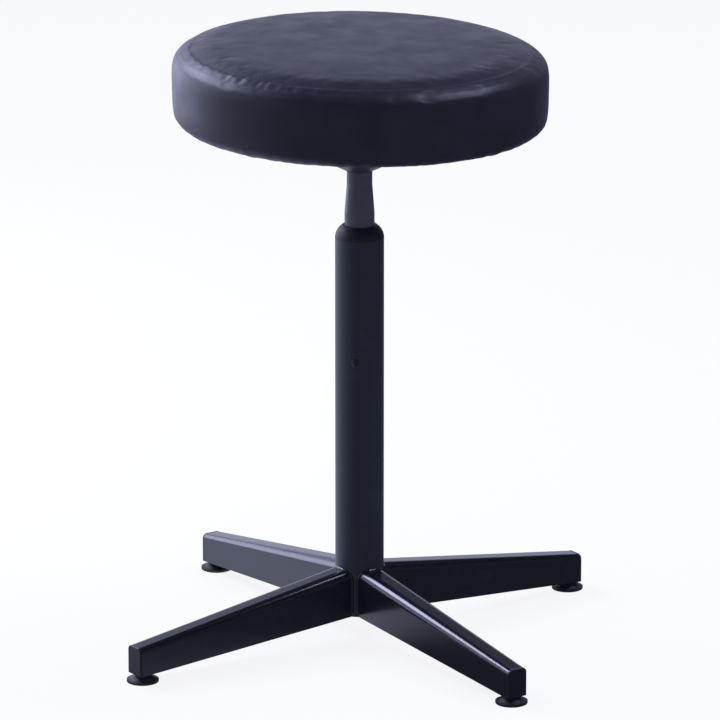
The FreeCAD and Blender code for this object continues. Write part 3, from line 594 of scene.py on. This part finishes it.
def hexagon_block(name, flats, low, high, hole, chamfered_low, chamfered_high):
    """A hexagon with its corners turned off at one or both ends, as a bar lathe leaves them."""
    deselect()
    corner = flats / math.sqrt(3)
    bpy.ops.mesh.primitive_cylinder_add(vertices=6, radius=corner * MM, depth=(high - low) * MM)
    block = bpy.context.object
    block.location.z = (low + high) / 2 * MM
    settle(block, name)
    face = flats / 2 * 0.95
    drop = (corner + 0.4 - face) * math.tan(math.radians(30))
    outline = [(max(hole, 0.01), low - 0.5 * (not chamfered_low))]
    if chamfered_low:
        outline += [(face, low), (corner + 0.4, low + drop)]
    else:
        outline += [(corner + 0.4, low - 0.5)]
    if chamfered_high:
        outline += [(corner + 0.4, high - drop), (face, high)]
    else:
        outline += [(corner + 0.4, high + 0.5)]
    outline.append((max(hole, 0.01), high + 0.5 * (not chamfered_high)))
    cutter = turned("chamfers", outline, 48, closed=True)
    apply_modifier(block, "BOOLEAN", operation="INTERSECT", object=cutter, solver="EXACT")
    bpy.data.objects.remove(cutter)
    smooth(block, 25)
    return block


def threaded_rod(name, crest, root, pitch, starts, low, high, steps):
    """A rod with a real thread: its teeth are wound up the rod and cut square at both ends."""
    outline = []
    for tooth in range(starts):
        foot = tooth * pitch
        outline += [
            (root, foot),
            (root, foot + 0.28 * pitch),
            (crest, foot + 0.42 * pitch),
            (crest, foot + 0.86 * pitch),
        ]
    lead = starts * pitch
    outline.append((root, lead))
    rod = line_up(name, [(radius, low - lead + height) for radius, height in outline])
    turns = math.ceil((high - low) / lead) + 2
    settings = {"angle": 2 * math.pi, "screw_offset": lead * MM, "iterations": turns}
    apply_modifier(rod, "SCREW", steps=steps, render_steps=steps, use_merge_vertices=True, **settings)
    edit(rod)
    bpy.ops.mesh.select_all(action="SELECT")
    bpy.ops.mesh.remove_doubles(threshold=0.01 * MM)
    for height, above in ((low, False), (high, True)):
        bpy.ops.mesh.select_all(action="SELECT")
        cut = {"plane_co": (0, 0, height * MM), "plane_no": (0, 0, 1)}
        bpy.ops.mesh.bisect(use_fill=True, clear_inner=not above, clear_outer=above, **cut)
    finish_skin(rod)
    smooth(rod, 30)
    return rod


def lift_screw(finishes):
    """The fixed lift screw with its double thread, and its threaded spigot through the column's foot."""
    thread = threaded_rod("lift_screw_thread", 10.0, 7.9, 4.0, 2, 45.0, 267.6, 32)
    end_corners = [(0, 267.5), (8.4, 267.5), (8.4, 268.0), (8.0, 268.3), (0, 268.3)]
    end = turned("lift_screw_end", end_corners, 48)
    spigot = threaded_rod("lift_screw_spigot", 6.0, 5.1, 1.75, 1, 26.2, 45.1, 32)
    tip = turned("lift_screw_tip", [(0, 25.7), (4.8, 25.7), (5.2, 26.3), (0, 26.3)], 48)
    piece = joined([thread, end, spigot, tip], "lift_screw")
    place(piece, "base", "bright_steel", finishes["bright_steel"], ["spindle"])


def levelling_screws(finishes):
    """The levelling screws: riveted end under the pad, collar on it, and a thread up through the nut."""
    thread = threaded_rod("levelling_thread", 4.0, 3.35, 1.25, 1, 9.0, 24.6, 24)
    collar = turned("levelling_collar", [
        (0, 1.95),
        (4.4, 1.95),
        (5.4, 2.5),
        (5.5, 3.55),
        (4.0, 3.55),
        (4.0, 7.35),
        (6.6, 7.35),
        (7.0, 7.7),
        (7.0, 8.7),
        (6.7, 9.05),
        (0, 9.05),
    ], 48)
    tip = turned("levelling_tip", [(0, 24.5), (3.7, 24.5), (3.2, 25.4), (0, 25.4)], 32)
    pattern = joined([thread, collar, tip], "levelling_pattern")
    smooth(pattern, 30)
    for leg in LEGS:
        piece = copy_of(pattern, f"levelling_screw_{leg}", LEG_ANGLES[leg], (261.5, 0, 0))
        node = f"glide_screw_{leg}"
        place(piece, f"screw_{leg}", "zinc_steel", finishes["zinc_steel"], [node])
    bpy.data.objects.remove(pattern)


def weld_nuts(finishes):
    pattern = hexagon_block("weld_nut_pattern", 13.0, 12.35, 18.85, 4.05, False, True)
    for leg in LEGS:
        piece = copy_of(pattern, f"turned_weld_nut_{leg}", LEG_ANGLES[leg], (261.5, 0, 0))
        place(piece, "base", "zinc_steel", finishes["zinc_steel"], [f"weld_nut_{leg}"])
    bpy.data.objects.remove(pattern)


def foot_nut(finishes):
    piece = hexagon_block("turned_foot_nut", 19.0, 26.5, 36.5, 6.05, True, True)
    place(piece, "base", "black_enamel", finishes["black_enamel"], ["foot_nut"])


def seat_bolts(finishes):
    """Four bolts up through the bell's flange, with turned corners and a washer face."""
    head = hexagon_block("bolt_head", 13.0, 523.1, 528.0, 0, True, False)
    shank_corners = [(0, 528.0), (5.8, 528.0), (5.8, 528.4), (4.0, 528.4), (4.0, 546.0), (0, 546.4)]
    shank = turned("bolt_shank", shank_corners, 32)
    pattern = joined([head, shank], "bolt_pattern")
    smooth(pattern, 25)
    copies = [copy_of(pattern, f"bolt_{n}", math.pi / 2 * n, (87, 0, 0)) for n in range(4)]
    bpy.data.objects.remove(pattern)
    piece = joined(copies, "turned_seat_bolts")
    place(piece, "seat", "zinc_steel", finishes["zinc_steel"], ["seat_bolts"])


# Weld beads


def weld_bead(name, points, width, spacing, closed=False):
    """A welded seam: flattened drops laid along a line in millimetres and melted into one rippled skin."""
    curve = bpy.data.curves.new(f"{name}_line", "CURVE")
    curve.dimensions = "3D"
    spline = curve.splines.new("POLY")
    spline.points.add(len(points) - 1)
    for point, corner in zip(spline.points, points):
        point.co = (*(Vector(corner) * MM), 1)
    spline.use_cyclic_u = closed
    line = bpy.data.objects.new(f"{name}_line", curve)
    bpy.context.scene.collection.objects.link(line)
    loop = points + points[:1] if closed else points
    length = sum((Vector(a) - Vector(b)).length for a, b in zip(loop, loop[1:]))
    deselect()
    bpy.ops.mesh.primitive_ico_sphere_add(subdivisions=2, radius=width / 2 * MM)
    bead = bpy.context.object
    bead.scale.x = 0.55
    settle(bead, name)
    count = round(length / spacing)
    shift = (length / count * MM, 0, 0)
    array = {"use_relative_offset": False, "use_constant_offset": True, "constant_offset_displace": shift}
    apply_modifier(bead, "ARRAY", count=count, **array)
    apply_modifier(bead, "CURVE", object=line)
    for vertex in bead.data.vertices:
        vertex.co += vertex.normal * 0.22 * width / 4 * waver(vertex.co / MM, 5.0, 8.0) * MM
    apply_modifier(bead, "REMESH", mode="VOXEL", voxel_size=0.5 * MM)
    apply_modifier(bead, "SMOOTH", factor=0.5, iterations=2)
    bpy.data.objects.remove(line)
    smooth(bead, 60)
    return bead


def leg_welds(finishes):
    """The beads that hold each leg to the column, up one side, over the top and down the other."""
    side, crown, edge, radius = 15.2, 73.6, 10.0, 24.6
    rise = [(side, height) for height in (30, 36, 42, 48, 54, 60)]
    for step in range(7):
        turn = math.pi / 2 * step / 6
        rise.append((side - edge + edge * math.cos(turn), crown - edge + edge * math.sin(turn)))
    outline = rise + [(0, crown)] + [(-across, height) for across, height in reversed(rise)]
    line = [(math.sqrt(radius**2 - across**2), across, height) for across, height in outline]
    pattern = weld_bead("leg_weld_pattern", line, 3.4, 1.2)
    for leg in LEGS:
        piece = copy_of(pattern, f"leg_weld_{leg}", LEG_ANGLES[leg])
        # the beads share the legs' darker enamel, painted shade included
        place(piece, "base", "leg_enamel", finishes["leg_enamel"])
    bpy.data.objects.remove(pattern)


def bell_weld(finishes):
    """The bead round the neck under the bell."""
    angles = [2 * math.pi * step / 40 for step in range(40)]
    points = [(13.5 * math.cos(angle), 13.5 * math.sin(angle), 485.4) for angle in angles]
    piece = weld_bead("bell_weld", points, 2.6, 1.0, closed=True)
    place(piece, "seat", "black_enamel", finishes["black_enamel"])


# Studio


def aim(item, spot):
    """Turns a lamp or camera towards a spot."""
    item.rotation_euler = (spot - item.location).to_track_quat("-Z", "Y").to_euler()


def soft_lamp(name, location, target, size, power):
    """A softbox of faintly blue daylight, seen only in what it lights."""
    data = bpy.data.lights.new(name, "AREA")
    data.shape = "RECTANGLE"
    data.size, data.size_y = size
    data.energy = power
    data.color = linear("#D6DCFF")[:3]
    lamp = bpy.data.objects.new(name, data)
    bpy.context.scene.collection.objects.link(lamp)
    lamp.location = location
    lamp.visible_camera = False
    aim(lamp, Vector(target))


def lamps():
    """A low box beside the seat, a high one that draws the legs' upper edges and a small one overhead."""
    soft_lamp("left_softbox", view_space(-1.4, 1.2, 0.5), (0, 0, 0.5), (1.4, 0.8), 8)
    soft_lamp("edge_softbox", view_space(-1.35, 0.9, 1.6), (0, 0, 0.1), (1.6, 0.8), 35)
    soft_lamp("right_softbox", view_space(1.05, 0.25, 2.1), (0, 0, 0.3), (0.7, 0.7), 13)


def mirrored_room(tree, way):
    """How bright the room is in a direction round the stool: a window at the back left, dim at right."""
    flat = add(tree, "ShaderNodeVectorMath", [(0, way), (1, (1, 1, 0))], operation="MULTIPLY").outputs[0]
    level = add(tree, "ShaderNodeVectorMath", [(0, flat)], operation="NORMALIZE").outputs[0]
    window = view_space(-0.766, 0.643, 0)
    facing = add(tree, "ShaderNodeVectorMath", [(0, level), (1, window)], operation="DOT_PRODUCT")
    share = ramp(tree, facing.outputs["Value"], -0.4, 1.0)
    curved = add(tree, "ShaderNodeMath", [(0, share), (1, 2.1)], operation="POWER").outputs[0]
    return ramp(tree, curved, 0.0, 1.0, 0.05, 0.98)


def seen_as(tree, plain, mirrored, fill):
    """One level for the camera, one for gloss and an even one for the light that falls on the stool."""
    path = add(tree, "ShaderNodeLightPath").outputs
    shaded = add(tree, "ShaderNodeMix", [(0, path["Is Glossy Ray"]), (2, fill), (3, mirrored)]).outputs[0]
    return add(tree, "ShaderNodeMix", [(0, path["Is Camera Ray"]), (2, shaded), (3, plain)]).outputs[0]


def surroundings():
    """A white room that the camera sees as plain white. Its window doesn't reach far over the horizon."""
    world = bpy.data.worlds.new("studio")
    bpy.context.scene.world = world
    world.use_nodes = True
    tree = world.node_tree
    room = tree.nodes["Background"]
    way = add(tree, "ShaderNodeTexCoord").outputs["Generated"]
    height = add(tree, "ShaderNodeSeparateXYZ", [(0, way)]).outputs["Z"]
    lintel = ramp(tree, height, 0.33, 0.56, 1.75, 0.07)
    lit = [(0, mirrored_room(tree, way)), (1, lintel)]
    mirrored = add(tree, "ShaderNodeMath", lit, operation="MULTIPLY").outputs[0]
    feed(tree, seen_as(tree, 0.0, mirrored, 0.75), room, "Strength")
    room.inputs["Color"].default_value = linear("#DADFFF")
    plain = add(tree, "ShaderNodeBackground", [("Color", (1, 1, 1, 1)), ("Strength", 1.0)])
    seen = add(tree, "ShaderNodeLightPath").outputs["Is Camera Ray"]
    both = add(tree, "ShaderNodeMixShader", [(0, seen), (1, room.outputs[0]), (2, plain.outputs[0])])
    feed(tree, both.outputs[0], tree.nodes["World Output"], "Surface")


def pale_floor():
    """The camera sees pale lit paint; gloss and the light on the stool see painted light, a glow that
    stands in for the room's light on the floor, and from below it is clear.
    """
    material, tree, shader, spot = start_finish("pale_floor", "#F2F2F2", Roughness=0.8)
    glow = add(tree, "ShaderNodeEmission", [("Color", (1, 1, 1, 1)), ("Strength", 1.0)])
    seen = add(tree, "ShaderNodeMixShader", [(0, 0.86), (1, shader.outputs[0]), (2, glow.outputs[0])])
    # painted light: a glow brighter towards the back-left window for gloss, and an even one for the rest,
    # with no shadow in it
    nearer = add(tree, "ShaderNodeVectorMath", [(0, spot), (1, view_space(-0.038, 0.032, 0))]).outputs[0]
    level = seen_as(tree, 0.0, mirrored_room(tree, nearer), 0.8)
    mirrored = add(tree, "ShaderNodeEmission", [("Color", linear("#DADFFF")), ("Strength", level)])
    path = add(tree, "ShaderNodeLightPath").outputs["Is Camera Ray"]
    pale = add(tree, "ShaderNodeMixShader", [(0, path), (1, mirrored.outputs[0]), (2, seen.outputs[0])])
    under = add(tree, "ShaderNodeNewGeometry").outputs["Backfacing"]
    clear = add(tree, "ShaderNodeBsdfTransparent")
    both = add(tree, "ShaderNodeMixShader", [(0, under), (1, pale.outputs[0]), (2, clear.outputs[0])])
    feed(tree, both.outputs[0], tree.nodes["Material Output"], "Surface")
    return material


def floor():
    """A floor that keeps the stool's shadow, bright enough to run into the white background."""
    deselect()
    bpy.ops.mesh.primitive_plane_add(size=30, location=(0, 0, 0))
    ground = settle(bpy.context.object, "floor")
    ground.data.materials.append(pale_floor())


def camera():
    data = bpy.data.cameras.new("photo_view")
    data.lens = VIEW_LENS
    data.sensor_width = 36
    item = bpy.data.objects.new("photo_view", data)
    bpy.context.scene.collection.objects.link(item)
    away = view_space(0, -math.cos(VIEW_ELEVATION), math.sin(VIEW_ELEVATION))
    item.location = VIEW_TARGET + away * VIEW_DISTANCE
    item.rotation_euler = (math.pi / 2 - VIEW_PITCH, 0, VIEW_YAW)
    data.clip_start, data.clip_end = 0.05, 60
    bpy.context.scene.camera = item


finishes = all_finishes()
dress_solids(finishes)
cushion(finishes)
dust_sheet(finishes)
cloth_staples(finishes)
lift_screw(finishes)
levelling_screws(finishes)
weld_nuts(finishes)
foot_nut(finishes)
seat_bolts(finishes)
leg_welds(finishes)
bell_weld(finishes)
surroundings()
lamps()
floor()
camera()
bpy.context.scene.view_settings.view_transform = "Standard"
